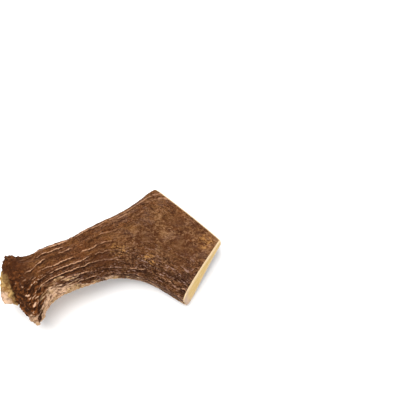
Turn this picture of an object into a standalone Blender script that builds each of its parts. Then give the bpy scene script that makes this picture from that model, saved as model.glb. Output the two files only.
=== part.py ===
"""Sawn base of a shed moose antler: seal, burr, beam and the start of the palm.

The piece lies on its flatter side. The burr points to -X, the palm spreads to +X, and two straight
saw cuts end it. It is lofted from cross-sections that each span a back edge and a front edge.
"""

import math

import bmesh
import bpy
import numpy as np

MM = 0.001

# Cross-sections from the burr to beyond the saw cuts, in millimetres:
# back edge X, Y, Z, front edge X, Y, Z, half thickness at the back edge and at the front edge.
SECTIONS = (
    (0, 20.5, 27.5, 15, -24, 26.5, 23, 23),
    (8.5, 19, 27.5, 34, -41.5, 27.5, 27, 27),
    (17, 19.5, 27.5, 39, -32, 27.5, 25.5, 25.5),
    (31.5, 26.5, 27.5, 48, -19.5, 27.5, 21.5, 22),
    (57, 38, 26, 76, -6, 26, 19, 20.5),
    (81, 53.5, 22, 99, 2.5, 22.5, 15.5, 19.5),
    (106, 69, 14.5, 121.5, 2.5, 17, 11, 17.5),
    (124, 85.5, 7, 141, -4.5, 13, 7.5, 16.5),
    (135.5, 96, 2.7, 163, -18, 10.7, 5.5, 15),
    (167, 94, 6, 189.5, -31, 12.5, 3.5, 10.5),
    (204, 91.5, 10, 215.5, -44, 15, 2, 5),
)

# Seal: the rough dome that sat on the skull. Its peak lies towards the front edge.
SEAL_HEIGHT = 13.0
SEAL_PEAK_SHIFT = 0.66
SEAL_FULLNESS = 1.8
SEAL_RINGS = 7
SEAL_RING_SPACING = 0.7

# Burr: a collar of blunt knobs around the base. Places count sections, and angles are in radians.
BURR_PLACE = 0.9
BURR_SPREAD = 0.7
BURR_KNOBS = 13
BURR_KNOB_HEIGHT = 2.3
BURR_KNOB_SHIFT = 0.09
BURR_KNOB_VARIATION = 0.3

# Long ridges that start past the burr, run along the beam and fade on the palm.
RIDGE_COUNT = 11
RIDGE_HEIGHT = 0.8
RIDGE_START, RIDGE_FULL, RIDGE_END = 1.0, 2.0, 7.0
RIDGE_WANDER = 0.14
RIDGE_RIPPLE = 0.05

# The round beam turns into the flatter, squarer palm between these sections. Across the palm, the
# middle stands higher than the edges, so the palm lies on its two edges.
PALM_START, PALM_END = 4.0, 7.0
BEAM_FULLNESS, PALM_FULLNESS = 2.0, 3.2
PALM_BOW = 5.0

# Saw cuts: a point on the cut in millimetres, then the heading of its outward normal and how far the
# normal leans up, in degrees.
CUTS = (
    ("upper_cut", (172.0, 64.5, 11.5), 46.5, -6.0),
    ("lower_cut", (183.0, 11.5, 20.0), -31.0, 12.0),
)
CUTTER_SIZE = 260.0

# Centre of the finished piece's box in the frame of the sections, at floor height.
ORIGIN = (99.0, 26.3, -0.1)

RINGS_PER_SECTION = 7
POINTS_AROUND = 60
CREASE_ANGLE = 50.0

ANTLER_BROWN = (0.115, 0.06, 0.032, 1.0)
ANTLER_ROUGHNESS = 0.6


def smooth_step(value, low, high):
    """0 below low, 1 above high, and a soft rise between them."""
    part = np.clip((value - low) / (high - low), 0.0, 1.0)
    return part * part * (3.0 - 2.0 * part)


def section_values(places):
    """The eight section values at fractional places, on a smooth cubic curve through SECTIONS."""
    table = np.array(SECTIONS, dtype=float)
    middle = 0.5 * (table[:, 0:3] + table[:, 3:6])
    steps = np.linalg.norm(np.diff(middle, axis=0), axis=1)
    knots = np.concatenate(((0.0,), np.cumsum(steps)))
    slopes = np.diff(table, axis=0) / steps[:, None]

    # The bend at each section, so that neighbouring stretches meet without a kink.
    system = np.eye(len(knots))
    wanted = np.zeros_like(table)
    for i in range(1, len(knots) - 1):
        system[i, i - 1 : i + 2] = steps[i - 1], 2 * (steps[i - 1] + steps[i]), steps[i]
        wanted[i] = 6 * (slopes[i] - slopes[i - 1])
    bend = np.linalg.solve(system, wanted)

    distance = np.interp(places, np.arange(len(knots)), knots)
    index = np.clip(np.searchsorted(knots, distance, side="right") - 1, 0, len(steps) - 1)
    width = steps[index][:, None]
    after = (distance - knots[index])[:, None] / width
    before = 1.0 - after
    curve = (before**3 - before) * bend[index] + (after**3 - after) * bend[index + 1]
    return before * table[index] + after * table[index + 1] + curve * width**2 / 6


def burr_knobs(place, angle):
    """Blunt knobs in two staggered rows around the collar."""
    collar = np.exp(-(((place - BURR_PLACE) / BURR_SPREAD) ** 2))
    turned = BURR_KNOBS * (angle + BURR_KNOB_SHIFT * np.sin(3.0 * angle)) + math.pi * place
    variation = BURR_KNOB_VARIATION * (1.0 - np.sin(2.0 * angle + 2.0))
    return BURR_KNOB_HEIGHT * collar * (0.5 + 0.5 * np.cos(turned)) * (1.0 - variation)


def long_ridges(place, angle):
    """Rounded ridges along the beam, slightly wavy, that fan out and fade on the palm."""
    wander = RIDGE_WANDER * np.sin(1.3 * place) + RIDGE_RIPPLE * np.sin(3.1 * place + 2.0 * angle)
    rise = smooth_step(place, RIDGE_START, RIDGE_FULL)
    fade = 1.0 - smooth_step(place, PALM_START, RIDGE_END)
    return RIDGE_HEIGHT * rise * fade * np.cos(RIDGE_COUNT * (angle + wander))


def surface_points(places, angles):
    """Surface points, ring by ring. Places under 0 run down the seal to its peak at -1."""
    place, angle = np.meshgrid(places, angles, indexing="ij")
    values = section_values(np.maximum(places, 0.0))
    back, front, half_back, half_front = values[:, 0:3], values[:, 3:6], values[:, 6], values[:, 7]
    centre = 0.5 * (back + front)
    across = 0.5 * (back - front)
    reach = np.linalg.norm(across, axis=1)
    across_unit = across / reach[:, None]
    up = np.array((0.0, 0.0, 1.0)) - across_unit * across_unit[:, 2:3]
    up /= np.linalg.norm(up, axis=1)[:, None]

    palm = smooth_step(place, PALM_START, PALM_END)
    power = 2.0 / (BEAM_FULLNESS + (PALM_FULLNESS - BEAM_FULLNESS) * palm)
    side = np.sign(np.cos(angle)) * np.abs(np.cos(angle)) ** power
    rise = np.sign(np.sin(angle)) * np.abs(np.sin(angle)) ** power
    half = half_front[:, None] + (half_back - half_front)[:, None] * 0.5 * (1.0 + side)

    relief = burr_knobs(place, angle) + long_ridges(place, angle)
    out_side, out_rise = side / reach[:, None], rise / half
    out_length = np.hypot(out_side, out_rise)
    side_mm = side * reach[:, None] + relief * out_side / out_length
    rise_mm = rise * half + relief * out_rise / out_length + PALM_BOW * palm * (1.0 - side**2)

    shrink = np.clip(1.0 + place, 0.0, 1.0)
    side_mm = shrink * side_mm - (1.0 - shrink) * SEAL_PEAK_SHIFT * reach[:, None]
    outward = np.cross(up[0], across_unit[0])
    dome = SEAL_HEIGHT * (1.0 - shrink**SEAL_FULLNESS)
    return (
        centre[:, None, :]
        + side_mm[..., None] * across_unit[:, None, :]
        + (shrink * rise_mm)[..., None] * up[:, None, :]
        + dome[..., None] * outward
    )


def clear_scene():
    for old in list(bpy.data.objects):
        bpy.data.objects.remove(old, do_unlink=True)


def new_collection(name):
    collection = bpy.data.collections.new(name)
    bpy.context.scene.collection.children.link(collection)
    return collection


def antler_places():
    """Places of the rings between the two end points: first down the seal, then along the antler."""
    seal = -1.0 + (np.arange(1, SEAL_RINGS) / SEAL_RINGS) ** SEAL_RING_SPACING
    last = len(SECTIONS) - 1
    return np.concatenate((seal, np.linspace(0.0, last, last * RINGS_PER_SECTION + 1)))


def antler_mesh():
    """A closed loft: rings of points, a peak on the seal and a flat end beyond the saw cuts."""
    angles = np.linspace(0.0, 2.0 * math.pi, POINTS_AROUND, endpoint=False)
    rings = surface_points(antler_places(), angles)
    peak = surface_points(np.array((-1.0,)), angles)[0].mean(axis=0)
    shape = bmesh.new()
    loops = [[shape.verts.new((p - ORIGIN) * MM) for p in ring] for ring in rings]
    tip = shape.verts.new((peak - ORIGIN) * MM)
    for i in range(POINTS_AROUND):
        j = (i + 1) % POINTS_AROUND
        shape.faces.new((tip, loops[0][i], loops[0][j]))
        for near, far in zip(loops, loops[1:]):
            shape.faces.new((near[j], near[i], far[i], far[j]))
    shape.faces.new(loops[-1][::-1])
    bmesh.ops.recalc_face_normals(shape, faces=shape.faces)
    mesh = bpy.data.meshes.new("antler")
    shape.to_mesh(mesh)
    shape.free()
    return mesh


def antler_material():
    material = bpy.data.materials.new("antler_bone")
    material.use_nodes = True
    surface = material.node_tree.nodes["Principled BSDF"]
    surface.inputs["Base Color"].default_value = ANTLER_BROWN
    surface.inputs["Roughness"].default_value = ANTLER_ROUGHNESS
    surface.inputs["Metallic"].default_value = 0.0
    return material


def saw_cutter(name, point, heading, lean, collection):
    """A block whose one face is the saw cut and whose body lies on the sawn-off side."""
    heading, lean = math.radians(heading), math.radians(lean)
    normal = np.array(
        (
            math.cos(heading) * math.cos(lean),
            math.sin(heading) * math.cos(lean),
            math.sin(lean),
        )
    )
    bpy.ops.mesh.primitive_cube_add(size=CUTTER_SIZE * MM)
    cutter = bpy.context.object
    cutter.name = name
    cutter.location = (np.array(point) - ORIGIN + normal * CUTTER_SIZE / 2) * MM
    cutter.rotation_euler = (0.0, -lean, heading)
    cutter.hide_render = True
    cutter.display_type = "WIRE"
    for holder in list(cutter.users_collection):
        holder.objects.unlink(cutter)
    collection.objects.link(cutter)
    return cutter


def main():
    clear_scene()
    parts = new_collection("moose_antler")
    cutters = new_collection("cutters")

    antler = bpy.data.objects.new("antler", antler_mesh())
    antler.data.materials.append(antler_material())
    antler.data.shade_smooth()
    antler.data.set_sharp_from_angle(angle=math.radians(CREASE_ANGLE))
    parts.objects.link(antler)

    for name, point, heading, lean in CUTS:
        cut = antler.modifiers.new(name, "BOOLEAN")
        cut.operation = "DIFFERENCE"
        cut.solver = "EXACT"
        cut.object = saw_cutter(name, point, heading, lean, cutters)


main()
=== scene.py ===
"""Moose antler: the sawn base of a shed antler, with seal, burr, beam and the start of the palm.

One mesh stands for the CAD solid. It repeats the solid's cross-sections in a fine grid whose last
ring lies on the two saw cuts, adds the pearls, grooves and pits, and closes the cuts with flat caps.
"""

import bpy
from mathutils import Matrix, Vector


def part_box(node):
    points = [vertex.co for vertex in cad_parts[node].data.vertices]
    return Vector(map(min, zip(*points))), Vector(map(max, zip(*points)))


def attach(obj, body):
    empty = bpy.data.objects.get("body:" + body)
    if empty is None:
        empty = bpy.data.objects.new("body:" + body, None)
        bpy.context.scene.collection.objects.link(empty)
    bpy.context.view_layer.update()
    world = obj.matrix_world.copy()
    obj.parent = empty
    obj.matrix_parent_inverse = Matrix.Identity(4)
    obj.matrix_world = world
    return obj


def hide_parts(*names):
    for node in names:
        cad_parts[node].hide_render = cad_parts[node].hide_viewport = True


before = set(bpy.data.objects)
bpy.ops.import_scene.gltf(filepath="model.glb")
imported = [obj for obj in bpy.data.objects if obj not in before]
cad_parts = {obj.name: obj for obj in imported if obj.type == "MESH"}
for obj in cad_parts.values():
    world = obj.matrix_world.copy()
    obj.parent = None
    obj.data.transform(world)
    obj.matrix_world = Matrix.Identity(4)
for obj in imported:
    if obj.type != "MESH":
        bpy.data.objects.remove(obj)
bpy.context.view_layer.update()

import math

import bmesh
import bpy
import numpy as np
from mathutils import Vector, noise

bl_info = {
    "name": "Moose Antler",
    "version": (1, 0, 0),
    "blender": (4, 5, 0),
    "location": "3D View > Sidebar > Antler",
    "description": "Builds the sawn base of a shed moose antler on its packed frame, and a plain stage",
    "category": "Add Mesh",
}

MM = 0.001
NODE = "antler"
AXES = 3

# ---- Form, in millimetres: the same cross-sections, knobs and ridges as the CAD solid ----

# Back edge X, Y, Z, front edge X, Y, Z, half thickness at the back edge and at the front edge.
SECTIONS = np.array(
    (
        (0, 20.5, 27.5, 15, -24, 26.5, 23, 23),
        (8.5, 19, 27.5, 34, -41.5, 27.5, 27, 27),
        (17, 19.5, 27.5, 39, -32, 27.5, 25.5, 25.5),
        (31.5, 26.5, 27.5, 48, -19.5, 27.5, 21.5, 22),
        (57, 38, 26, 76, -6, 26, 19, 20.5),
        (81, 53.5, 22, 99, 2.5, 22.5, 15.5, 19.5),
        (106, 69, 14.5, 121.5, 2.5, 17, 11, 17.5),
        (124, 85.5, 7, 141, -4.5, 13, 7.5, 16.5),
        (135.5, 96, 2.7, 163, -18, 10.7, 5.5, 15),
        (167, 94, 6, 189.5, -31, 12.5, 3.5, 10.5),
        (204, 91.5, 10, 215.5, -44, 15, 2, 5),
    ),
    dtype=float,
)

SEAL_HEIGHT, SEAL_PEAK_SHIFT, SEAL_FULLNESS = 13.0, 0.66, 1.8

BURR_PLACE, BURR_SPREAD = 0.9, 0.7
BURR_KNOBS, BURR_KNOB_HEIGHT, BURR_KNOB_SHIFT, BURR_KNOB_VARIATION = 13, 2.3, 0.09, 0.3

RIDGE_COUNT, RIDGE_HEIGHT = 11, 0.8
RIDGE_START, RIDGE_FULL, RIDGE_END = 1.0, 2.0, 7.0
RIDGE_WANDER, RIDGE_RIPPLE = 0.14, 0.05

PALM_START, PALM_END = 4.0, 7.0
BEAM_FULLNESS, PALM_FULLNESS, PALM_BOW = 2.0, 3.2, 5.0

# Point on the cut, heading of its outward normal and how far the normal leans up, in degrees.
UPPER_CUT = ((172.0, 64.5, 11.5), 46.5, -6.0)
LOWER_CUT = ((183.0, 11.5, 20.0), -31.0, 12.0)

# Radius of the round beam that the grain coordinates are unrolled from.
GRAIN_RADIUS = 24.0


def smooth_step(value, low, high):
    """0 below low, 1 above high, and a soft rise between them."""
    part = np.clip((value - low) / (high - low), 0.0, 1.0)
    return part * part * (3.0 - 2.0 * part)


def section_distances():
    """Distance of each section along the antler's middle line."""
    middle = 0.5 * (SECTIONS[:, 0:3] + SECTIONS[:, 3:6])
    steps = np.linalg.norm(np.diff(middle, axis=0), axis=1)
    return np.concatenate(((0.0,), np.cumsum(steps)))


KNOTS = section_distances()


def section_bends():
    """The second slope at each section, so that neighbouring stretches meet without a kink."""
    steps = np.diff(KNOTS)
    slopes = np.diff(SECTIONS, axis=0) / steps[:, None]
    system = np.eye(len(KNOTS))
    wanted = np.zeros_like(SECTIONS)
    for i in range(1, len(KNOTS) - 1):
        system[i, i - 1 : i + 2] = steps[i - 1], 2 * (steps[i - 1] + steps[i]), steps[i]
        wanted[i] = 6 * (slopes[i] - slopes[i - 1])
    return np.linalg.solve(system, wanted)


BENDS = section_bends()


def section_values(distance):
    """The eight section values at distances along the antler, on a smooth cubic curve."""
    index = np.clip(np.searchsorted(KNOTS, distance, side="right") - 1, 0, len(KNOTS) - 2)
    width = np.diff(KNOTS)[index][..., None]
    after = (distance - KNOTS[index])[..., None] / width
    before = 1.0 - after
    curve = (before**3 - before) * BENDS[index] + (after**3 - after) * BENDS[index + 1]
    return before * SECTIONS[index] + after * SECTIONS[index + 1] + curve * width**2 / 6


def burr_knobs(place, angle):
    """Blunt knobs in two staggered rows around the collar."""
    collar = np.exp(-(((place - BURR_PLACE) / BURR_SPREAD) ** 2))
    turned = BURR_KNOBS * (angle + BURR_KNOB_SHIFT * np.sin(3.0 * angle)) + math.pi * place
    variation = BURR_KNOB_VARIATION * (1.0 - np.sin(2.0 * angle + 2.0))
    return BURR_KNOB_HEIGHT * collar * (0.5 + 0.5 * np.cos(turned)) * (1.0 - variation)


def long_ridges(place, angle):
    """Rounded ridges along the beam, slightly wavy, that fan out and fade on the palm."""
    wander = RIDGE_WANDER * np.sin(1.3 * place) + RIDGE_RIPPLE * np.sin(3.1 * place + 2.0 * angle)
    rise = smooth_step(place, RIDGE_START, RIDGE_FULL)
    fade = 1.0 - smooth_step(place, PALM_START, RIDGE_END)
    return RIDGE_HEIGHT * rise * fade * np.cos(RIDGE_COUNT * (angle + wander))


def signed_power(value, power):
    return np.sign(value) * np.abs(value) ** power


class Form:
    """Points of the plain form, with what the relief and the colours need to know at each one.

    distance runs along the antler in millimetres, and under 0 it runs down the seal to its peak.
    turn is the angle around: 0 at the back edge, a quarter turn on top, half a turn at the front.
    """

    def __init__(self, distance, turn):
        depth = KNOTS[1]
        self.shrink = np.clip(1.0 + distance / depth, 0.0, 1.0)
        self.place = np.where(
            distance < 0.0,
            distance / depth,
            np.interp(distance, KNOTS, np.arange(len(KNOTS))),
        )
        values = section_values(np.maximum(distance, 0.0))
        back, front = values[..., 0:3], values[..., 3:6]
        half_back, half_front = values[..., 6], values[..., 7]
        across = 0.5 * (back - front)
        reach = np.linalg.norm(across, axis=-1)
        across = across / reach[..., None]
        up = np.array((0.0, 0.0, 1.0)) - across * across[..., 2:3]
        up = up / np.linalg.norm(up, axis=-1)[..., None]

        palm = smooth_step(self.place, PALM_START, PALM_END)
        fullness = BEAM_FULLNESS + (PALM_FULLNESS - BEAM_FULLNESS) * palm
        cos, sin = np.cos(turn), np.sin(turn)
        radius = (np.abs(cos) ** fullness + np.abs(sin) ** fullness) ** (-1.0 / fullness)
        side, rise = radius * cos, radius * sin
        half = half_front + (half_back - half_front) * 0.5 * (1.0 + side)

        angle = np.arctan2(signed_power(rise, fullness / 2), signed_power(side, fullness / 2))
        relief = burr_knobs(self.place, angle) + long_ridges(self.place, angle)
        out_side, out_rise = side / reach, rise / half
        out_length = np.hypot(out_side, out_rise)
        side_mm = side * reach + relief * out_side / out_length
        rise_mm = rise * half + relief * out_rise / out_length + PALM_BOW * palm * (1 - side**2)

        side_mm = self.shrink * side_mm - (1.0 - self.shrink) * SEAL_PEAK_SHIFT * reach
        outward = np.cross(up, across)
        dome = SEAL_HEIGHT * (1.0 - self.shrink**SEAL_FULLNESS)
        self.points = (
            0.5 * (back + front)
            + side_mm[..., None] * across
            + (self.shrink * rise_mm)[..., None] * up
            + dome[..., None] * outward
        )
        self.side, self.angle, self.palm = side, angle, palm
        self.grain = np.stack(
            (distance, GRAIN_RADIUS * self.shrink * side, GRAIN_RADIUS * self.shrink * rise), -1
        )


def cut_plane(cut):
    """A point on the saw cut and its outward normal."""
    point, heading, lean = cut
    heading, lean = math.radians(heading), math.radians(lean)
    normal = (
        math.cos(heading) * math.cos(lean),
        math.sin(heading) * math.cos(lean),
        math.sin(lean),
    )
    return np.array(point), np.array(normal)


PLANES = (cut_plane(UPPER_CUT), cut_plane(LOWER_CUT))


def beyond_cuts(points):
    """Signed distance beyond each saw cut, in millimetres: positive on the sawn-off side."""
    return np.stack([(points - point) @ normal for point, normal in PLANES])


# ---- Grid: rings along the antler, columns around it, the last ring on the saw cuts ----

# Columns lie closer on the broad faces of the palm than on its thin edges.
PALM_COLUMN_BIAS = 0.5
# Beyond this distance the rings spread column by column, so that the last one lies on the cuts.
SPREAD_START = 95.0
SEARCH_STEPS = 160
SEARCH_ROUNDS = 14
CORNER_SAMPLES = 25
CORNER_ROUNDS = 4
SEAL_RINGS = 34


def column_turn(column_angle, distance):
    place = np.interp(distance, KNOTS, np.arange(len(KNOTS)))
    bias = PALM_COLUMN_BIAS * smooth_step(place, PALM_START, PALM_END)
    return column_angle + 0.5 * bias * np.sin(2.0 * column_angle)


def column_ends(column_angles):
    """Distance at which each column first meets a saw cut, and how far it is beyond both there."""
    low = np.full_like(column_angles, SPREAD_START)
    high = np.full_like(column_angles, KNOTS[-1])
    steps = np.linspace(0.0, 1.0, SEARCH_STEPS)[:, None]
    distance = low + (high - low) * steps
    angles = np.broadcast_to(column_angles, distance.shape)
    beyond = beyond_cuts(Form(distance, column_turn(angles, distance)).points).max(axis=0)
    first = np.argmax(beyond > 0.0, axis=0)
    columns = np.arange(len(column_angles))
    low, high = distance[first - 1, columns], distance[first, columns]
    for _ in range(SEARCH_ROUNDS):
        middle = 0.5 * (low + high)
        form = Form(middle, column_turn(column_angles, middle))
        outside = beyond_cuts(form.points).max(axis=0) > 0.0
        low, high = np.where(outside, low, middle), np.where(outside, middle, high)
    end = 0.5 * (low + high)
    return end, beyond_cuts(Form(end, column_turn(column_angles, end)).points)


def corner_angle(low, high):
    """The column angle between low and high whose end lies on both saw cuts."""
    for _ in range(CORNER_ROUNDS):
        angles = np.linspace(low, high, CORNER_SAMPLES)
        beyond = column_ends(angles)[1]
        upper_first = beyond[0] > beyond[1]
        switch = int(np.argmax(upper_first != upper_first[0]))
        low, high = angles[switch - 1], angles[switch]
    return 0.5 * (low + high)


def column_angles(count):
    """Column angles, with a column on each edge and one on each end of the cuts' shared corner."""
    top = corner_angle(0.25 * math.pi, 0.75 * math.pi)
    bottom = corner_angle(1.25 * math.pi, 1.75 * math.pi)
    corner = int(round(count * top / (2.0 * math.pi)))
    fixed = (0, corner, count // 2, count - corner, count)
    angles = np.interp(np.arange(count), fixed, (0.0, top, math.pi, bottom, 2.0 * math.pi))
    return angles, corner


class Grid:
    """Distances and turns of every ring and column."""

    def __init__(self, spacing, columns):
        self.columns = columns
        angles, self.corner = column_angles(columns)
        ends = column_ends(angles)[0]
        seal = -KNOTS[1] * (1.0 - np.arange(1, SEAL_RINGS) / SEAL_RINGS)
        body = np.linspace(0.0, SPREAD_START, int(SPREAD_START / spacing) + 1)
        shared = np.concatenate((seal, body))
        spread = np.linspace(0.0, 1.0, int((ends.mean() - SPREAD_START) / spacing) + 1)[1:]
        fan = SPREAD_START + (ends - SPREAD_START) * spread[:, None]
        self.distance = np.concatenate((np.repeat(shared[:, None], columns, axis=1), fan))
        self.turn = column_turn(np.broadcast_to(angles, self.distance.shape), self.distance)


def grid_normals(points):
    """Outward unit normals of a grid that is closed around its columns."""
    along = np.gradient(points, axis=0)
    around = np.roll(points, -1, axis=1) - np.roll(points, 1, axis=1)
    normals = np.cross(around, along)
    return normals / np.linalg.norm(normals, axis=-1)[..., None]


# ---- Relief: veins, pearls, pits and wear on the form, in millimetres ----

# How sharply a lump rises from its creases, and how far a rod reaches from its middle, in spacings.
LUMP_SHARPNESS = 1.4
ROD_REACH = 0.62

VEINS_AROUND = 21
# Veins per millimetre around the beam, at which a vein has its normal width.
VEIN_STEEPNESS = 0.14
# Angle around the palm at which a thin painted highlight follows its rounded back edge.
RIM_HIGHLIGHT_TURN = 0.67

# The pale rubbed band: the angle of its middle, and its half width in radians at places along the
# antler. Where the half width is under 0, no more than scraps of the band are left.
WORN_MIDDLE = math.radians(192.0)
WORN_PLACES = (0.0, 0.4, 0.8, 1.1, 1.5, 2.0, 2.6, 3.4, 3.8, 4.2, 5.0, 6.4)
WORN_HALF_WIDTHS = (-0.9, 0.15, 0.85, 0.45, 0.3, 0.6, 0.95, 0.95, 0.65, 0.3, 0.08, 0.0)

# Where the seal bulges in a pale lump: middle and radius.
SEAL_LUMP, SEAL_LUMP_RADIUS = (2.0, -21.5, 33.0), 9.0

# Places where the crust is rubbed lighter, made darker, or flecked with amber: middle and radius.
# Where the darker spot at the burr reaches the seal, the seal's material paints the shade under
# the burr's overhang.
RUBBED_SPOTS = (
    ((31.0, 14.0, 49.0), 17.0),
    ((112.0, 22.0, 30.0), 20.0),
    ((145.0, 20.0, 25.0), 14.0),
    ((140.0, 57.0, 20.0), 20.0),
    ((147.0, 47.0, 21.0), 13.0),
)
DARKER_SPOTS = (
    ((11.0, 2.0, 48.0), 27.0),
    ((91.0, 15.0, 39.0), 13.0),
    ((129.0, 38.0, 24.0), 16.0),
    ((157.0, 59.0, 18.0), 16.0),
    ((165.0, 33.0, 20.0), 27.0),
)
AMBER_SPOTS = (
    ((104.0, 24.0, 34.0), 12.0),
    ((133.0, 17.0, 28.0), 9.0),
    ((185.0, 37.0, 20.0), 11.0),
)
# Places where the beam has fewer veins, and where it has more: middle and radius.
CALM_SPOTS = (
    ((82.0, 36.0, 30.0), 22.0),
    ((40.0, 22.0, 45.0), 13.0),
)
VEINED_SPOTS = (((72.0, 3.0, 41.0), 30.0),)


def fractal(points, lengths, seed, octaves=3):
    """Smooth noise around 0 whose largest features have these lengths in millimetres."""
    scaled = points.reshape(-1, AXES) / np.array(lengths) + seed
    values = [noise.fractal(Vector(spot), 1.0, 2.0, octaves) for spot in scaled.tolist()]
    return np.array(values).reshape(points.shape[:-1])


def lumps(points, length, seed):
    """Round lumps that touch each other: 1 on top of each and 0 in the creases between them."""
    scaled = points.reshape(-1, AXES) / length + seed
    nearest = [noise.voronoi(Vector(spot))[0][:2] for spot in scaled.tolist()]
    near, next_near = np.array(nearest).reshape(points.shape[:-1] + (2,)).T
    return np.clip((next_near - near).T * LUMP_SHARPNESS, 0.0, 1.0)


def rods(points, lengths, seed):
    """Scattered elongated spots about these lengths apart: 1 in their middle, 0 between them."""
    scaled = points.reshape(-1, AXES) / np.array(lengths) + seed
    nearest = [noise.voronoi(Vector(spot))[0][0] for spot in scaled.tolist()]
    return np.clip(1.0 - np.array(nearest).reshape(points.shape[:-1]) / ROD_REACH, 0.0, 1.0)


def steepness(phase, points):
    """How fast a phase that counts whole turns changes, per millimetre of a grid of points."""
    wave = np.exp(2j * math.pi * phase)
    along = np.gradient(np.unwrap(np.angle(wave), axis=0), axis=0)
    around = 0.5 * np.angle(np.roll(wave, -1, axis=1) / np.roll(wave, 1, axis=1))
    ring_step = np.linalg.norm(np.gradient(points, axis=0), axis=-1)
    column_step = 0.5 * np.roll(points, -1, axis=1) - 0.5 * np.roll(points, 1, axis=1)
    column_step = np.linalg.norm(column_step, axis=-1)
    return np.hypot(along / ring_step, around / column_step) / (2.0 * math.pi)


def radii_away(points, middle, radius):
    """Distance from a middle, counted in radii."""
    return np.linalg.norm(points - np.array(middle), axis=-1) / radius


def near_spots(points, spots):
    """1 in the middle of any of the spots, falling to 0 at its radius."""
    away = np.min([radii_away(points, middle, radius) for middle, radius in spots], axis=0)
    return 1.0 - smooth_step(away, 0.1, 1.0)


def crossing_lines(values, centre, width):
    """1 where values pass centre, falling to 0 at width on both sides of it."""
    return np.clip(1.0 - np.abs(values - centre) / width, 0.0, 1.0)


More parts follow.
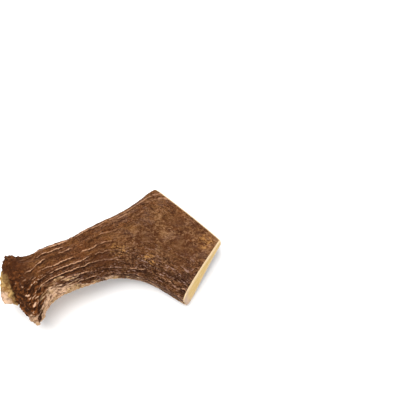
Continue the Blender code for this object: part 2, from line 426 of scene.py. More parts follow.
class Relief:
    """Height of the fine relief, and the masks that the materials read."""

    def __init__(self, form, turn, sizes):
        self.form = form
        self.palm = form.palm
        self.edge = -beyond_cuts(form.points).max(axis=0)
        self.spread = smooth_step(form.place, 4.1, 6.2)
        self.flank = smooth_step(-form.side, -0.1, 0.65) * smooth_step(form.place, 1.4, 3.6)
        inner = 1.0 - 0.8 * smooth_step(form.side, 0.05, 0.6)
        self.mottled = form.palm * (1.0 - self.flank) * inner
        self.rubbed = near_spots(form.points, RUBBED_SPOTS)
        self.darker_spot = near_spots(form.points, DARKER_SPOTS)
        self.amber = near_spots(form.points, AMBER_SPOTS)
        bends = [fractal(form.grain, (13.0, 9.0, 9.0), seed, 2) for seed in (13.9, 37.1, 59.3)]
        self.flow = form.grain + np.stack(bends, -1) * (3.0, 1.6, 1.6)
        self.height = self.crust(sizes) + self.seal_grit(sizes) + self.veins(turn, sizes)
        self.height += self.burr_pearls(sizes) + self.wear(sizes)

    def crust(self, sizes):
        """Soft mottling all over, and short creases on the palm."""
        mottle = fractal(self.form.points, (5.0, 4.0, 4.0), 5.3, 4)
        creases = crossing_lines(fractal(self.flow, (12.0, 3.0, 3.0), 17.1, 3), 0.0, 0.09)
        return (
            sizes.mottle_height * mottle * (1.0 - 0.5 * self.spread)
            - sizes.crease_depth * creases * self.spread
        )

    def seal_grit(self, sizes):
        """Coarse grit and one lump on the seal, whose foot the burr covers at the back."""
        place, side, points = self.form.place, self.form.side, self.form.points
        ragged = 0.16 * fractal(points, (6.0, 6.0, 6.0), 61.7, 3)
        start = 0.01 + 0.28 * smooth_step(side, -0.05, 0.6) + ragged
        self.seal = smooth_step(-place - start, 0.0, 0.1)
        grit = fractal(points, (4.5, 4.5, 4.5), 51.9, 4)
        lump_near = radii_away(points, SEAL_LUMP, SEAL_LUMP_RADIUS) + 0.3 * grit
        self.lump = smooth_step(-lump_near, -1.35, -0.6) * self.seal
        bulge = np.clip(1.0 - (lump_near / 1.3) ** 2, 0.0, 1.0)
        return (sizes.grit_height * grit + sizes.lump_height * bulge) * self.seal

    def veins(self, turn, sizes):
        """Wavy crests side by side along the beam, each with a groove on its front side, and broken
        into stretches, with broad swells and fine lines between them."""
        place, side = self.form.place, self.form.side
        grain, points = self.form.grain, self.form.points
        front_edge = smooth_step(-side, 0.5, 0.8)
        beam = smooth_step(place, 1.1, 2.2) * (1.0 - self.spread * (1.0 - 0.85 * front_edge))
        wander = 0.5 * fractal(grain, (70.0, 22.0, 22.0), 3.1, 2)
        wobble = 0.2 * fractal(grain, (9.0, 8.0, 8.0), 23.5, 3)
        wiggle = 0.09 * fractal(grain, (5.0, 8.0, 8.0), 47.7, 2)
        phase = VEINS_AROUND * turn / (2.0 * math.pi) + wander + wobble + wiggle
        evenness = VEIN_STEEPNESS / np.maximum(steepness(phase, points), 0.3 * VEIN_STEEPNESS)
        fall = (1.0 - np.cos(2.0 * math.pi * phase)) * evenness**2
        self.vein_wave = 1.0 - np.minimum(fall, 2.0)
        crest = crossing_lines(np.sqrt(0.5 * fall) / math.pi, 0.0, 0.11)
        after = np.mod(phase, 1.0)
        drop = np.clip(1.0 - (after - 0.07) / 0.55, 0.0, 1.0) * smooth_step(after, 0.02, 0.1)

        strength = fractal(grain, (24.0, 6.5, 6.5), 11.3, 3)
        calm = (
            0.22 * (1.0 - smooth_step(place, 1.8, 3.3))
            + 0.4 * near_spots(points, CALM_SPOTS)
            - 0.25 * near_spots(points, VEINED_SPOTS)
        )
        self.vein = smooth_step(strength - calm, -0.1, 0.12) * beam
        groove = drop * smooth_step(strength - 0.5 * calm, -0.2, 0.1) * beam
        fine = crossing_lines(fractal(self.flow, (15.0, 2.4, 2.4), 7.7, 3), 0.0, 0.12) * beam
        swell = fractal(grain, (46.0, 9.0, 9.0), 21.9, 2)
        # The grooves and fine lines, off the vein tops: the crust's colour paints shade into them.
        self.shaded_hollow = np.clip(groove + 0.5 * fine, 0.0, 1.0) * (1.0 - crest * self.vein)
        self.rim_away = np.sin(turn - RIM_HIGHLIGHT_TURN + 0.03 * wobble)
        # Where the two thin lines of painted highlight run along the palm's back edge.
        self.rim_highlight = smooth_step(place, 4.6, 5.6) * smooth_step(side, 0.3, 0.6)
        return (
            sizes.vein_height * (crest * self.vein - 0.9 * groove)
            + sizes.swell_height * swell * beam
            - sizes.fine_line_depth * fine
        )

    def burr_pearls(self, sizes):
        """Rugged pearls around the collar, lumps on its rim, and short rods side by side that point
        from the rim into the beam."""
        place, side, points = self.form.place, self.form.side, self.form.points
        collar = smooth_step(place, -0.5, 0.0) * (1.0 - smooth_step(place, 1.2, 2.3))
        self.burr = collar * (1.0 - self.seal)
        rugged = fractal(points, (3.6, 3.6, 3.6), 91.3, 3)
        pearls = lumps(points + 2.6 * rugged[..., None], 3.6, 9.7)
        self.pearl = np.clip(0.75 * pearls + 0.7 * rugged, 0.0, 1.0) * self.burr
        flare = smooth_step(place, 0.8, 1.05) * (1.0 - smooth_step(place, 1.9, 3.2))
        self.flare = flare * smooth_step(-side, -0.3, 0.3)
        self.rod = rods(self.flow + 0.8 * rugged[..., None], (6.0, 1.8, 1.8), 71.3)
        rim = np.exp(-(((place - 0.15) / 0.35) ** 2))
        return (
            sizes.pearl_height * (self.pearl - 0.5 * self.burr)
            + sizes.rod_height * (self.rod - 0.3) * self.flare
            + sizes.rim_height * fractal(points, (3.4, 3.4, 3.4), 81.1, 3) * rim
        )

    def wear(self, sizes):
        """The pale band rubbed along the front edge, from the burr's spur on, with pits in it and
        in the seal."""
        turned = np.mod(self.form.angle - WORN_MIDDLE + math.pi, 2.0 * math.pi)
        half_width = np.interp(self.form.place, WORN_PLACES, WORN_HALF_WIDTHS)
        patches = fractal(self.flow, (11.0, 3.2, 3.2), 31.7, 4)
        inside = half_width - np.abs(turned - math.pi) + 0.68 * patches
        self.worn = smooth_step(inside, -0.1, 0.14)
        pits = smooth_step(fractal(self.form.points, (3.0, 2.2, 2.2), 41.3, 3), 0.1, 0.36)
        self.pit = pits * np.maximum(self.worn, 0.8 * self.seal)
        return -sizes.pit_depth * self.pit


def project_to_cuts(points, grid, directions):
    """Slides the last ring's points along the antler onto the saw cuts."""
    (upper, upper_normal), (lower, lower_normal) = PLANES
    corners = (grid.corner, grid.columns - grid.corner)
    on_upper = np.minimum(np.arange(grid.columns), np.arange(grid.columns, 0, -1)) <= grid.corner
    for is_upper, point, normal in ((True, upper, upper_normal), (False, lower, lower_normal)):
        chosen = on_upper == is_upper
        slide = directions[chosen]
        gap = (points[chosen] - point) @ normal
        points[chosen] -= slide * (gap / (slide @ normal))[:, None]
    both = np.stack((upper_normal, lower_normal))
    for j in corners:
        gaps = np.array(((points[j] - upper) @ upper_normal, (points[j] - lower) @ lower_normal))
        points[j] -= np.linalg.pinv(both) @ gaps
    return points


# ---- Mesh ----

# How much of the saw's chamfer the last two rings take.
CHAMFER_SHARES = (0.35, 1.0)
CAP_ROWS = 26
# Share of the way to a sawn face's thin end that counts as depth under the crust.
END_DEPTH = 0.45
UV_NAME = "OFBake"
UV_BODY_WIDTH = 0.84
UV_GAP = 0.01
CRUST, SAWN = 0, 1

# Fields of the relief that are stored on the mesh, for the crust's material.
MASKS = (
    "palm", "flank", "mottled", "edge", "rubbed", "darker_spot", "amber",
    "vein", "vein_wave", "shaded_hollow", "rim_away", "rim_highlight",
    "burr", "pearl", "rod", "flare", "seal", "lump", "worn", "pit",
)


class AntlerShape:
    """Vertices, faces and surface values of the antler, in the frame of the sections."""

    def __init__(self, sizes):
        grid = Grid(sizes.ring_spacing / MM, sizes.columns)
        form = Form(grid.distance, grid.turn)
        relief = Relief(form, grid.turn, sizes)
        normals = grid_normals(form.points)
        along = np.gradient(form.points, axis=0)[-1]
        along /= np.linalg.norm(along, axis=-1)[:, None]
        body = form.points + normals * relief.height[..., None]
        self.plain = form.points
        ease = np.zeros(len(body))
        ease[-len(CHAMFER_SHARES) :] = CHAMFER_SHARES
        body -= normals * (sizes.saw_chamfer / MM * ease)[:, None, None]
        body[-1] = project_to_cuts(body[-1], grid, along)

        self.grid = grid
        rings, columns = grid.distance.shape
        peak = Form(np.array(-KNOTS[1]), np.array(0.0))
        self.vertices = list(map(tuple, body.reshape(-1, AXES)))
        self.vertices.append(tuple(peak.points))
        self.peak = len(self.vertices) - 1
        self.values = {name: list(getattr(relief, name).reshape(-1)) for name in MASKS}
        for field in self.values.values():
            field.append(field[0])
        self.grain = [tuple(spot) for spot in form.grain.reshape(-1, AXES)]
        self.grain.append(tuple(peak.grain))
        self.cut = [(0.0, 0.0, 0.0)] * len(self.vertices)
        self.faces, self.slots, self.uvs = [], [], []
        self.sharp = set()
        self.add_body(rings, columns)
        self.add_caps(rings, columns)

    def add_face(self, corners, slot, uvs):
        self.faces.append(corners)
        self.slots.append(slot)
        self.uvs.extend(uvs)

    def add_body(self, rings, columns):
        def at(ring, column):
            return ring * columns + column % columns

        def uv(ring, column):
            return column / columns * UV_BODY_WIDTH, (ring + 1) / rings

        for j in range(columns):
            tip = ((j + 0.5) / columns * UV_BODY_WIDTH, 0.0)
            self.add_face((self.peak, at(0, j), at(0, j + 1)), CRUST, (tip, uv(0, j), uv(0, j + 1)))
            for r in range(rings - 1):
                spots = ((r, j + 1), (r, j), (r + 1, j), (r + 1, j + 1))
                self.add_face([at(*s) for s in spots], CRUST, [uv(*s) for s in spots])

    def add_caps(self, rings, columns):
        """Closes both saw cuts with a grid of rows from the upper crust to the lower crust."""
        first = (rings - 1) * columns
        half = columns // 2
        lines = {}
        for j in range(half + 1):
            top, bottom = first + j, first + (columns - j) % columns
            lines[j] = [top] if top == bottom else self.cap_line(top, bottom)
        corner = self.grid.corner
        tops = np.array([self.vertices[line[0]] for line in lines.values()])
        bottoms = np.array([self.vertices[line[-1]] for line in lines.values()])
        steps = np.linalg.norm(np.diff(0.5 * (tops + bottoms), axis=0), axis=1)
        run = np.concatenate(((0.0,), np.cumsum(steps)))
        for j, line in lines.items():
            thickness = float(np.linalg.norm(bottoms[j] - tops[j]))
            to_end = min(run[j], run[-1] - run[j])
            for k, index in enumerate(line):
                through = thickness * k / max(len(line) - 1, 1)
                depth = min(through, thickness - through, END_DEPTH * to_end)
                self.cut[index] = (run[j] - run[corner], through, depth)
            if j < half:
                self.add_cap_strip(line, lines[j + 1], j, run)
        ring = [first + j for j in range(columns)]
        self.sharp.update(zip(ring, ring[1:] + ring[:1]))
        self.sharp.update(zip(lines[corner], lines[corner][1:]))

    def cap_line(self, top, bottom):
        """New vertices between a top and a bottom vertex of the last ring, with both of those."""
        start, end = np.array(self.vertices[top]), np.array(self.vertices[bottom])
        line = [top]
        for k in range(1, CAP_ROWS):
            self.vertices.append(tuple(start + (end - start) * k / CAP_ROWS))
            for field in self.values.values():
                field.append(0.0)
            self.grain.append((0.0, 0.0, 0.0))
            self.cut.append((0.0, 0.0, 0.0))
            line.append(len(self.vertices) - 1)
        line.append(bottom)
        return line

    def add_cap_strip(self, line, next_line, j, run):
        def uv(column, k):
            width = 1.0 - UV_BODY_WIDTH - UV_GAP
            return UV_BODY_WIDTH + UV_GAP + width * k / CAP_ROWS, float(run[column] / run[-1])

        for k in range(CAP_ROWS):
            if len(line) == 1:
                corners = (line[0], next_line[k], next_line[k + 1])
                spots = ((j, k + 0.5), (j + 1, k), (j + 1, k + 1))
            elif len(next_line) == 1:
                corners = (line[k], next_line[0], line[k + 1])
                spots = ((j, k), (j + 1, k + 0.5), (j, k + 1))
            else:
                corners = (line[k], next_line[k], next_line[k + 1], line[k + 1])
                spots = ((j, k), (j + 1, k), (j + 1, k + 1), (j, k + 1))
            self.add_face(corners, SAWN, [uv(*spot) for spot in spots])

    def mesh(self, name, offset):
        """The Blender mesh, moved by offset and kept off the floor."""
        spots = np.array(self.vertices) + offset
        spots[:, 2] = np.maximum(spots[:, 2], 0.0)
        mesh = bpy.data.meshes.new(name)
        mesh.from_pydata((spots * MM).tolist(), [], self.faces)
        mesh.polygons.foreach_set("material_index", self.slots)
        mesh.uv_layers.new(name=UV_NAME).data.foreach_set("uv", np.array(self.uvs).ravel())
        for key, field in self.values.items():
            mesh.attributes.new(key, "FLOAT", "POINT").data.foreach_set("value", field)
        for key, field in (("grain", self.grain), ("cut", self.cut)):
            attribute = mesh.attributes.new(key, "FLOAT_VECTOR", "POINT")
            attribute.data.foreach_set("vector", np.array(field).ravel())
        pairs = np.zeros(2 * len(mesh.edges), dtype=np.int32)
        mesh.edges.foreach_get("vertices", pairs)
        wanted = {tuple(sorted(pair)) for pair in self.sharp}
        is_sharp = [tuple(sorted(pair)) in wanted for pair in pairs.reshape(-1, 2).tolist()]
        mesh.attributes.new("sharp_edge", "BOOLEAN", "EDGE").data.foreach_set("value", is_sharp)
        mesh.shade_smooth()
        shape = bmesh.new()
        shape.from_mesh(mesh)
        bmesh.ops.recalc_face_normals(shape, faces=shape.faces)
        shape.to_mesh(mesh)
        shape.free()
        return mesh


# ---- Shader maths ----


class Value:
    """An output socket. Operators on it add Math nodes, so a mask is written as plain arithmetic."""

    def __init__(self, material, output):
        self.material = material
        self.output = output

    def maths(self, operation, first, second):
        return self.material.node("ShaderNodeMath", {"operation": operation}, {0: first, 1: second})

    def __add__(self, other):
        return self.maths("ADD", self, other)

    def __sub__(self, other):
        return self.maths("SUBTRACT", self, other)

    def __rsub__(self, other):
        return self.maths("SUBTRACT", other, self)

    def __mul__(self, other):
        return self.maths("MULTIPLY", self, other)

    def __abs__(self):
        return self.maths("ABSOLUTE", self, 0.0)

    __radd__ = __add__
    __rmul__ = __mul__


class Material:
    """A material's node tree, with one method that adds any node."""

    def __init__(self, name):
        self.data = bpy.data.materials.new(name)
        self.data.use_nodes = True
        self.tree = self.data.node_tree
        self.tree.nodes.clear()

    def node(self, kind, settings=None, inputs=None, output=0):
        """Adds a node, sets it up, fills or links its sockets and returns one of its outputs."""
        made = self.tree.nodes.new(kind)
        for name, setting in (settings or {}).items():
            setattr(made, name, setting)
        for name, given in (inputs or {}).items():
            if isinstance(given, Value):
                self.tree.links.new(given.output, made.inputs[name])
            else:
                made.inputs[name].default_value = given
        return Value(self, made.outputs[output]) if made.outputs else None

    def field(self, name):
        """A number stored on the mesh."""
        return self.node("ShaderNodeAttribute", {"attribute_name": name}, output="Fac")

    def places(self, name):
        """A vector stored on the mesh, in millimetres."""
        return self.node("ShaderNodeAttribute", {"attribute_name": name}, output="Vector")

    def spots(self):
        """Position on the piece, in millimetres."""
        spot = self.node("ShaderNodeTexCoord", output="Object")
        return self.stretched(spot, (MM, MM, MM))

    def stretched(self, vector, lengths):
        """The vector counted in these lengths."""
        scale = tuple(1.0 / length for length in lengths)
        return self.node("ShaderNodeVectorMath", {"operation": "MULTIPLY"}, {0: vector, 1: scale})

    def noise(self, vector, lengths, detail=3.0, roughness=0.55, output="Fac"):
        """Smooth noise around 0.5 whose largest features have these lengths in millimetres."""
        inputs = {
            "Vector": self.stretched(vector, lengths),
            "Scale": 1.0,
            "Detail": detail,
            "Roughness": roughness,
        }
        return self.node("ShaderNodeTexNoise", None, inputs, output)

    def pushed(self, vector, lengths, reach):
        """The vector pushed to and fro by noise of these lengths, each axis within its reach."""
        push = self.noise(vector, lengths, 2.0, 0.5, "Color")
        push = self.node(
            "ShaderNodeVectorMath", {"operation": "SUBTRACT"}, {0: push, 1: (0.5, 0.5, 0.5)}
        )
        return self.node(
            "ShaderNodeVectorMath", {"operation": "MULTIPLY_ADD"}, {0: push, 1: reach, 2: vector}
        )

    def cells(self, vector, lengths):
        """Distance to scattered points about these lengths apart."""
        inputs = {"Vector": self.stretched(vector, lengths), "Scale": 1.0}
        return self.node("ShaderNodeTexVoronoi", {"feature": "F1"}, inputs, "Distance")

    def between(self, value, low, high):
        """0 at low, 1 at high, and a soft step between them."""
        settings = {"interpolation_type": "SMOOTHSTEP"}
        return self.node(
            "ShaderNodeMapRange", settings, {"Value": value, "From Min": low, "From Max": high}
        )

    def mixed(self, first, second, share):
        """The first colour turned into the second by share."""
        settings = {"data_type": "RGBA", "blend_type": "MIX", "clamp_factor": True}
        return self.node("ShaderNodeMix", settings, {0: share, 6: first, 7: second}, 2)

    def bumped(self, height, distance):
        """The surface normal tilted by a height from 0 to 1 that stands for distance in metres."""
        return self.node(
            "ShaderNodeBump", None, {"Strength": 1.0, "Distance": distance, "Height": height}
        )

    def finished(self, inputs):
        """Links a Principled BSDF to the output and returns Blender's material."""
        surface = self.node("ShaderNodeBsdfPrincipled", None, inputs)
        self.node("ShaderNodeOutputMaterial", None, {"Surface": surface})
        return self.data


# ---- Materials ----


CRUST_GLOSS, CRUST_BUMP = 0.035, 0.6 * MM
SAWN_GLOSS, SAWN_BUMP = 0.3, 0.35 * MM
FLOOR_GLOSS, FLOOR_ROUGHNESS = 0.1, 0.9


class CrustFields:
    """What the colours of the crust are mixed by: the masks on the mesh, and noise in many sizes."""

    def __init__(self, m):
        for name in MASKS:
            setattr(self, name, m.field(name))
        spots = m.spots()
        flow = m.pushed(m.places("grain"), (12.0, 8.0, 8.0), (8.0, 5.0, 5.0))
        self.streaks = m.noise(flow, (24.0, 3.2, 3.2), 4.0, 0.6)
        self.fibres = m.noise(flow, (8.0, 1.3, 1.3), 4.0, 0.6)
        self.threads = m.noise(flow, (7.0, 1.2, 1.2), 3.0, 0.65)
        self.blushes = m.noise(spots, (17.0, 14.0, 12.0), 3.0, 0.6)
        self.tints = m.noise(spots, (13.0, 10.0, 11.0), 3.0, 0.6)
        self.patches = m.noise(spots, (9.0, 7.5, 7.5), 4.0, 0.6)
        self.mottle = m.noise(spots, (4.2, 3.2, 3.2), 4.0, 0.65)
        self.flecks = m.noise(spots, (1.9, 1.5, 1.5), 2.0, 0.6)
        self.specks = m.noise(spots, (1.2, 0.9, 0.9), 1.0, 0.5)


def brown_bands(m, colours, on):
    """Streaks along the beam and the palm's front edge, soft mottling over the rest of the palm."""
    lines = on.streaks + (on.fibres - on.streaks) * (0.6 * on.palm)
    mottling = 0.25 * on.fibres + 0.15 * on.mottle + 0.6 * on.patches
    pattern = lines * (1 - on.mottled) + mottling * on.mottled + 0.06 * on.rubbed
    colour = m.mixed(colours.dark_brown, colours.mid_brown, m.between(pattern, 0.43, 0.54))
    colour = m.mixed(colour, colours.fleck_tan, m.between(pattern, 0.52, 0.62) * on.palm * 0.4)
    warmth = m.between(on.tints, 0.5, 0.62) * m.between(on.mottle, 0.36, 0.6)
    colour = m.mixed(colour, colours.warm_brown, warmth * (0.8 - 0.2 * on.palm - 0.4 * on.flank))
    blush = m.between(on.blushes, 0.5, 0.6) * m.between(on.fibres, 0.38, 0.58)
    blush = blush * (0.6 - 0.4 * on.flank) + 0.35 * (1 - on.palm)
    colour = m.mixed(colour, colours.red_brown, blush)
    ash = m.between(on.tints, 0.52, 0.4) * m.between(on.patches, 0.4, 0.56)
    colour = m.mixed(colour, colours.ash_brown, ash * (0.2 + 0.55 * on.palm))
    blotches = m.between(on.patches, 0.475, 0.4) * m.between(on.mottle, 0.62, 0.5)
    colour = m.mixed(colour, colours.dark_brown, blotches * 0.6 * (1 + on.mottled - on.palm))
    colour = m.mixed(colour, colours.fleck_tan, m.between(on.patches, 0.53, 0.6) * on.mottled * 0.3)
    # Painted shade: the front flank darker, deepest in its darker streaks.
    colour = m.mixed(colour, colours.dark_brown, on.flank * 0.5)
    shade = on.flank * m.between(on.streaks, 0.54, 0.4)
    return m.mixed(colour, colours.deep_brown, shade * 0.7)


def with_flecks(m, colours, on, colour):
    """Small light and dark flecks, threads along the grain, and a few amber spots."""
    fleck = m.mixed(colours.warm_brown, colours.fleck_tan, 0.4 + 0.6 * on.palm)
    light_flecks = m.between(on.flecks, 0.46, 0.59) * m.between(on.mottle, 0.44, 0.56)
    light_share = 0.2 + 0.5 * on.mottled + on.rubbed * (0.8 - 0.4 * on.palm)
    colour = m.mixed(colour, fleck, light_flecks * light_share)
    dark_threads = m.between(on.threads, 0.49, 0.36) * (0.5 + 0.4 * on.flank - 0.25 * on.mottled)
    dark_flecks = m.between(on.flecks, 0.48, 0.34) + m.between(on.specks, 0.46, 0.34)
    dark_flecks = dark_flecks * (0.4 - 0.2 * on.mottled)
    colour = m.mixed(colour, colours.deep_brown, dark_threads + dark_flecks)
    amber = m.between(on.amber, 0.0, 0.6) * m.between(on.flecks, 0.42, 0.52)
    colour = m.mixed(colour, colours.amber, amber * m.between(on.fibres, 0.49, 0.6) * 0.85)
    bright_specks = m.between(on.specks, 0.56, 0.68) * (0.45 - 0.15 * on.mottled)
    colour = m.mixed(colour, fleck, bright_specks)
    light_threads = m.between(on.threads, 0.55, 0.63) * m.between(on.flecks, 0.44, 0.56)
    colour = m.mixed(colour, colours.vein_tan, light_threads * 0.25 * (1 - on.flank))
    return m.mixed(colour, colours.mauve_grey, light_threads * on.flank * 0.85)


def vein_crests(m, on):
    """1 on the veins, and on two thin lines of painted highlight along the palm's back edge,
    with a ragged outline.
    """
    crest = m.between(on.vein_wave + 0.5 * on.flecks, 1.1, 1.22) * on.vein
    rim_away = on.rim_away + 0.04 * on.flecks
    # Two thin lines of painted highlight beside the palm's rounded back edge.
    near_line = m.between(abs(rim_away - 0.02), 0.028, 0.014) * m.between(on.mottle, 0.38, 0.5)
    far_line = m.between(abs(rim_away - 0.16), 0.03, 0.014) * m.between(on.patches, 0.46, 0.56)
    return crest.maths("MAXIMUM", crest, (near_line + far_line) * on.rim_highlight * 0.6)


def with_burr(m, colours, on, colour):
    """The burr: painted shade between the pearls and rods, and painted highlights in tan and cream on
    the tops of some pearls and rods, with the pearls' highlights weaker in the darker spots."""
    # Painted shade and light: deep brown between the pearls, burr brown where they are lit.
    lit_pearls = m.between(on.mottle + 0.4 * on.pearl, 0.5, 0.8)
    collar = m.mixed(colours.deep_brown, colours.burr_brown, lit_pearls)
    # Painted highlight on the tops of some pearls.
    lit_pearl_tops = m.between(on.pearl, 0.6, 0.9) * m.between(on.flecks, 0.48, 0.58)
    collar = m.mixed(collar, colours.vein_tan, lit_pearl_tops * (1 - 0.6 * on.darker_spot))
    colour = m.mixed(colour, collar, on.burr * 0.85)
    colour = m.mixed(colour, colours.burr_brown, m.between(on.rod, 0.1, 0.3) * on.flare * 0.7)
    # Painted shade between the rods.
    colour = m.mixed(colour, colours.deep_brown, m.between(on.rod, 0.2, 0.05) * on.flare * 0.7)
    # Painted highlight on the tops of some rods.
    lit_rods = m.between(on.rod + 0.5 * on.flecks, 0.62, 0.84) * m.between(on.patches, 0.43, 0.52)
    return m.mixed(colour, colours.worn_cream, lit_rods * on.flare * 0.8)


def worn_bone(m, colours, on):
    """Rubbed cream bone that still holds brown in its streaks."""
    bone = m.mixed(colours.worn_cream, colours.seal_tan, m.between(on.tints, 0.44, 0.58) * 0.6)
    bone = m.mixed(bone, colours.fleck_tan, m.between(on.mottle, 0.5, 0.66) * 0.65)
    return m.mixed(bone, colours.warm_brown, m.between(on.threads, 0.48, 0.38) * 0.7)


def seal_bone(m, colours, on):
    """The seal: yellowish tan with brown in its grit, painted shade on its side under the burr's
    overhang, and one pale lump with a dark outline."""
    bone = m.mixed(colours.seal_tan, colours.seal_pale, on.lump)
    outline = m.between(on.lump, 0.02, 0.25) * m.between(on.lump, 0.7, 0.3)
    bone = m.mixed(bone, colours.warm_brown, outline * 0.6)
    stains = m.between(on.patches, 0.5, 0.38) * (0.8 - 0.4 * on.lump)
    bone = m.mixed(bone, colours.warm_brown, stains)
    specks = m.between(on.mottle, 0.43, 0.33) * (0.6 - 0.2 * on.lump)
    bone = m.mixed(bone, colours.dark_brown, specks)
    # Painted shade: the seal darker under the burr's overhang, where the darker spot reaches it.
    return m.mixed(bone, colours.dark_brown, m.between(on.darker_spot + on.mottle, 0.96, 1.2) * 0.7)


def crust_material(colours):
    """The grown surface: brown crust, tan veins, pale wear, dark burr and the rough seal."""
    m = Material("antler_crust")
    on = CrustFields(m)
    crest = vein_crests(m, on)
    colour = with_flecks(m, colours, on, brown_bands(m, colours, on))
    # Painted shade: deep brown in the grooves beside the veins and in the fine lines between them.
    colour = m.mixed(colour, colours.deep_brown, on.shaded_hollow * 0.9)
    colour = m.mixed(colour, colours.vein_tan, crest)
    colour = with_burr(m, colours, on, colour)
    # Darker patches in the darker spots.
    darker_patches = on.darker_spot * m.between(on.patches, 0.3, 0.5) * (0.75 - 0.2 * on.palm)
    colour = m.mixed(colour, colours.dark_brown, darker_patches)
    colour = m.mixed(colour, worn_bone(m, colours, on), on.worn * 0.95)
    colour = m.mixed(colour, seal_bone(m, colours, on), on.seal)
    colour = m.mixed(colour, colours.dark_brown, on.pit * (0.65 - 0.25 * on.seal))
    bare_edge = m.between(on.edge + 0.9 * on.flecks, 1.5, 1.1)
    colour = m.mixed(colour, colours.sawn_ivory, bare_edge)

    bare = on.worn.maths("MAXIMUM", on.worn, on.seal)
    height = 0.5 * on.threads + 0.4 * on.flecks + 0.3 * on.streaks + 0.4 * crest
    return m.finished(
        {
            "Base Color": colour,
            "Roughness": 0.5 + 0.2 * on.mottle + 0.2 * bare,
            "Specular IOR Level": CRUST_GLOSS,
            "Normal": m.bumped(height, CRUST_BUMP),
        }
    )


def sawn_material(colours):
    """Sawn bone: a dense pale rim, a yellower core with small pores, and faint saw lines."""
    m = Material("sawn_bone")
    cut = m.places("cut")
    run = m.node("ShaderNodeSeparateXYZ", None, {0: cut}, "X")
    depth = m.node("ShaderNodeSeparateXYZ", None, {0: cut}, "Z")
    clouds = m.noise(cut, (22.0, 6.0, 22.0), 3.0)
    strands = m.noise(cut, (9.0, 1.2, 9.0), 4.0, 0.6)
    pores = m.cells(cut, (1.5, 1.1, 1.5))
    saw_lines = m.noise(cut, (0.8, 60.0, 60.0), 2.0)
    core = m.between(depth + 4.0 * clouds, 3.0, 5.5)

    colour = m.mixed(colours.sawn_ivory, colours.sawn_core, core)
    colour = m.mixed(colour, colours.sawn_ivory, m.between(strands, 0.5, 0.68) * 0.6)
    pore_holes = m.between(pores, 0.3, 0.12) * core
    colour = m.mixed(colour, colours.fleck_tan, pore_holes * 0.55)
    worn_end = m.between(run + 20.0 * clouds + 8.0 * strands, 67.0, 81.0)
    colour = m.mixed(colour, colours.sawn_end, worn_end)
    rim = m.between(depth + 0.5 * strands, 0.75, 0.4)
    colour = m.mixed(colour, colours.fleck_tan, rim * 0.7)

    height = 0.5 * saw_lines + 0.3 * strands - 0.6 * pore_holes
    return m.finished(
        {
            "Base Color": colour,
            "Roughness": 0.5 + 0.2 * clouds,
            "Specular IOR Level": SAWN_GLOSS,
            "Normal": m.bumped(height, SAWN_BUMP),
        }
    )


def floor_material(colour):
    m = Material("studio_floor")
    return m.finished(
        {"Base Color": colour, "Roughness": FLOOR_ROUGHNESS, "Specular IOR Level": FLOOR_GLOSS}
    )


# ---- Settings ----


def number(name, description, default, **limits):
    return bpy.props.FloatProperty(name=name, description=description, default=default, **limits)


def length(name, description, default, low=0.0):
    limits = {"min": low, "soft_max": 10.0 * default, "precision": 5}
    return number(name, description, default, subtype="DISTANCE", unit="LENGTH", **limits)


def height_mm(name, description, default):
    return number(name, description + ", in millimetres", default, min=0.0, soft_max=5.0)


def paint(name, description, default):
    return bpy.props.FloatVectorProperty(
        name=name,
        description=description,
        default=default + (1.0,),
        size=4,
        min=0.0,
        max=1.0,
        subtype="COLOR",
    )


class AntlerSizes(bpy.types.PropertyGroup):
    """Fineness of the mesh and height of its relief."""

    ring_spacing: length("Ring Spacing", "Distance between the antler's rings", 0.8 * MM, 0.3 * MM)
    columns: bpy.props.IntProperty(
        name="Columns",
        description="Columns of faces around the antler; an even number",
        default=320,
        min=64,
        max=400,
        step=2,
    )
    saw_chamfer: length("Saw Chamfer", "How far the saw's edge is rounded", 0.35 * MM)
    vein_height: height_mm("Vein Height", "Height of the long wavy veins", 0.65)
    swell_height: height_mm("Swell Height", "Height of the broad swells along the beam", 0.7)
    fine_line_depth: height_mm("Fine Line Depth", "Depth of the fine lines between veins", 0.22)
    mottle_height: height_mm("Mottle Height", "Height of the crust's mottling", 0.55)
    crease_depth: height_mm("Crease Depth", "Depth of the palm's short creases", 0.18)
    pearl_height: height_mm("Pearl Height", "Height of the pearls on the burr", 2.2)
    rod_height: height_mm("Rod Height", "Height of the short rods on the burr", 1.3)
    rim_height: height_mm("Rim Height", "Height of the lumps on the burr's rim", 3.2)
    grit_height: height_mm("Grit Height", "Height of the seal's coarse grit", 1.6)
    lump_height: height_mm("Lump Height", "Height of the pale lump on the seal", 1.5)
    pit_depth: height_mm("Pit Depth", "Depth of the pits in worn bone and in the seal", 0.8)


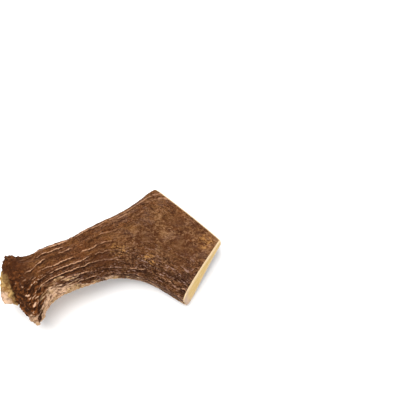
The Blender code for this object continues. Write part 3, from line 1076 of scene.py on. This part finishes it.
class AntlerColours(bpy.types.PropertyGroup):
    """Colours of the crust and of the bone under it."""

    # Deep Brown also paints the shade in the grooves beside the veins, between the burr's pearls and
    # rods, and on the front flank.
    deep_brown: paint("Deep Brown", "Hollows and creases", (0.016, 0.0045, 0.0015))
    dark_brown: paint("Dark Brown", "Darker bands of the crust", (0.056, 0.017, 0.005))
    mid_brown: paint("Mid Brown", "Lighter bands of the crust", (0.11, 0.042, 0.0145))
    warm_brown: paint("Warm Brown", "Yellowish patches of the crust", (0.16, 0.065, 0.016))
    red_brown: paint("Red Brown", "Reddish patches of the crust", (0.13, 0.041, 0.01))
    ash_brown: paint("Ash Brown", "Greyish patches of the crust", (0.085, 0.04, 0.027))
    amber: paint("Amber", "A few bright spots of the crust", (0.34, 0.165, 0.05))
    mauve_grey: paint("Mauve Grey", "Light flecks on the dark front flank", (0.27, 0.165, 0.13))
    burr_brown: paint("Burr Brown", "The collar around the base", (0.15, 0.048, 0.0115))
    fleck_tan: paint("Fleck Tan", "Small light flecks", (0.26, 0.135, 0.062))
    # Vein Tan also paints the highlights on the pearls' tops and along the palm's back edge.
    vein_tan: paint("Vein Tan", "Rubbed tops of veins and pearls", (0.42, 0.225, 0.128))
    # Worn Cream also paints the highlights on the tops of the burr's rods.
    worn_cream: paint("Worn Cream", "The rubbed band along the beam", (0.6, 0.385, 0.25))
    seal_tan: paint("Seal Tan", "The rough seal", (0.43, 0.27, 0.1))
    seal_pale: paint("Seal Pale", "The pale lump of the seal", (0.58, 0.385, 0.255))
    sawn_ivory: paint("Sawn Ivory", "Dense bone at the saw cuts", (0.62, 0.46, 0.27))
    sawn_core: paint("Sawn Core", "The core of the sawn bone", (0.55, 0.37, 0.115))
    sawn_end: paint("Sawn End", "The sawn bone near its thin ends", (0.44, 0.3, 0.215))


class StageSettings(bpy.types.PropertyGroup):
    """Camera, lights and floor."""

    camera_elevation: number(
        "Camera Elevation",
        "Angle of the camera above the horizon",
        math.radians(70.0),
        min=0.0,
        max=math.radians(90.0),
        subtype="ANGLE",
        unit="ROTATION",
    )
    camera_distance: length("Camera Distance", "Distance from the camera to its aim", 0.915)
    aim_offset: bpy.props.FloatVectorProperty(
        name="Aim Offset",
        description="Where the camera aims, from the middle of the antler's box",
        default=(0.0815, 0.0563, -0.0155),
        size=3,
        subtype="TRANSLATION",
        unit="LENGTH",
    )
    lens: number(
        "Lens", "Focal length in millimetres", 85.0, min=10.0, subtype="DISTANCE_CAMERA"
    )
    floor_size: length("Floor Size", "Side of the square floor", 12.0)
    floor_colour: paint("Floor", "Colour of the floor", (0.93, 0.93, 0.93))
    fill_strength: number("Fill", "Strength of the even light from all around", 0.72, min=0.0)
    key_power: number("Key", "Power of the large soft light overhead", 24.0, subtype="POWER")
    front_power: number("Front", "Power of the low soft front light", 6.5, subtype="POWER")


# ---- Operators ----


# Width of each round light and its place, in metres.
KEY_WIDTH, KEY_PLACE = 1.4, (-0.4, 0.35, 1.2)
FRONT_WIDTH, FRONT_PLACE = 0.9, (0.35, -1.1, 0.55)
SENSOR_WIDTH = 36.0


def link(thing):
    bpy.context.scene.collection.objects.link(thing)
    return thing


def box_offset(points):
    """The move, in millimetres, that brings the form's box onto the CAD solid's box."""
    low, high = (np.array(corner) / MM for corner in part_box(NODE))
    own_low, own_high = points.reshape(-1, AXES).min(axis=0), points.reshape(-1, AXES).max(axis=0)
    offset = 0.5 * (low + high) - 0.5 * (own_low + own_high)
    offset[2] = low[2] - own_low[2]
    return offset


class ANTLER_OT_bone(bpy.types.Operator):
    """Make the antler's grown surface and its two sawn faces as one closed mesh"""

    bl_idname = "antler.bone"
    bl_label = "Make Antler"

    def execute(self, context):
        shape = AntlerShape(context.scene.antler_sizes)
        mesh = shape.mesh("antler_bone", box_offset(shape.plain))
        mesh.materials.append(crust_material(context.scene.antler_colours))
        mesh.materials.append(sawn_material(context.scene.antler_colours))
        bone = link(bpy.data.objects.new("antler_bone", mesh))
        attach(bone, "root")
        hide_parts(NODE)
        return {"FINISHED"}


def soft_light(name, power, width, place, target):
    light = bpy.data.lights.new(name, "AREA")
    light.shape = "DISK"
    light.size = width
    light.energy = power
    lamp = link(bpy.data.objects.new(name, light))
    lamp.location = place
    lamp.rotation_euler = (Vector(target) - Vector(place)).to_track_quat("-Z", "Y").to_euler()


class ANTLER_OT_stage(bpy.types.Operator):
    """Set up the pale floor, the soft studio light and the camera"""

    bl_idname = "antler.stage"
    bl_label = "Set Up Stage"

    def execute(self, context):
        stage = context.scene.antler_stage
        low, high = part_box(NODE)
        middle = 0.5 * (low + high)

        half = 0.5 * stage.floor_size
        floor_mesh = bpy.data.meshes.new("floor")
        corners = [(-half, -half, 0), (half, -half, 0), (half, half, 0), (-half, half, 0)]
        floor_mesh.from_pydata(corners, [], [(0, 1, 2, 3)])
        floor_mesh.materials.append(floor_material(stage.floor_colour))
        floor = link(bpy.data.objects.new("floor", floor_mesh))
        floor.location.z = low.z

        world = bpy.data.worlds.new("studio_fill")
        world.use_nodes = True
        fill = world.node_tree.nodes["Background"]
        fill.inputs["Color"].default_value = (1.0, 1.0, 1.0, 1.0)
        fill.inputs["Strength"].default_value = stage.fill_strength
        context.scene.world = world
        soft_light("key_light", stage.key_power, KEY_WIDTH, KEY_PLACE, middle)
        soft_light("front_light", stage.front_power, FRONT_WIDTH, FRONT_PLACE, middle)

        lens = bpy.data.cameras.new("camera")
        lens.lens = stage.lens
        lens.sensor_width = SENSOR_WIDTH
        camera = link(bpy.data.objects.new("camera", lens))
        back = Vector((0.0, -math.cos(stage.camera_elevation), math.sin(stage.camera_elevation)))
        camera.location = middle + Vector(stage.aim_offset) + stage.camera_distance * back
        camera.rotation_euler = (math.radians(90.0) - stage.camera_elevation, 0.0, 0.0)
        context.scene.camera = camera
        context.scene.view_settings.view_transform = "Standard"
        return {"FINISHED"}


class ANTLER_PT_panel(bpy.types.Panel):
    """Buttons and settings for the antler and its stage"""

    bl_idname = "ANTLER_PT_panel"
    bl_label = "Moose Antler"
    bl_space_type = "VIEW_3D"
    bl_region_type = "UI"
    bl_category = "Antler"

    def draw(self, context):
        layout = self.layout
        for operator, group in (
            (ANTLER_OT_bone, context.scene.antler_sizes),
            (None, context.scene.antler_colours),
            (ANTLER_OT_stage, context.scene.antler_stage),
        ):
            box = layout.box()
            if operator:
                box.operator(operator.bl_idname)
            for name in group.bl_rna.properties.keys():
                if name not in ("rna_type", "name"):
                    box.prop(group, name)


SETTINGS = (
    ("antler_sizes", AntlerSizes),
    ("antler_colours", AntlerColours),
    ("antler_stage", StageSettings),
)
CLASSES = (
    AntlerSizes,
    AntlerColours,
    StageSettings,
    ANTLER_OT_bone,
    ANTLER_OT_stage,
    ANTLER_PT_panel,
)


def register():
    for item in CLASSES:
        bpy.utils.register_class(item)
    for name, group in SETTINGS:
        setattr(bpy.types.Scene, name, bpy.props.PointerProperty(type=group))


def unregister():
    for name, _ in SETTINGS:
        delattr(bpy.types.Scene, name)
    for item in reversed(CLASSES):
        bpy.utils.unregister_class(item)


def main():
    register()
    bpy.ops.antler.bone()
    bpy.ops.antler.stage()


if __name__ == "__main__":
    main()
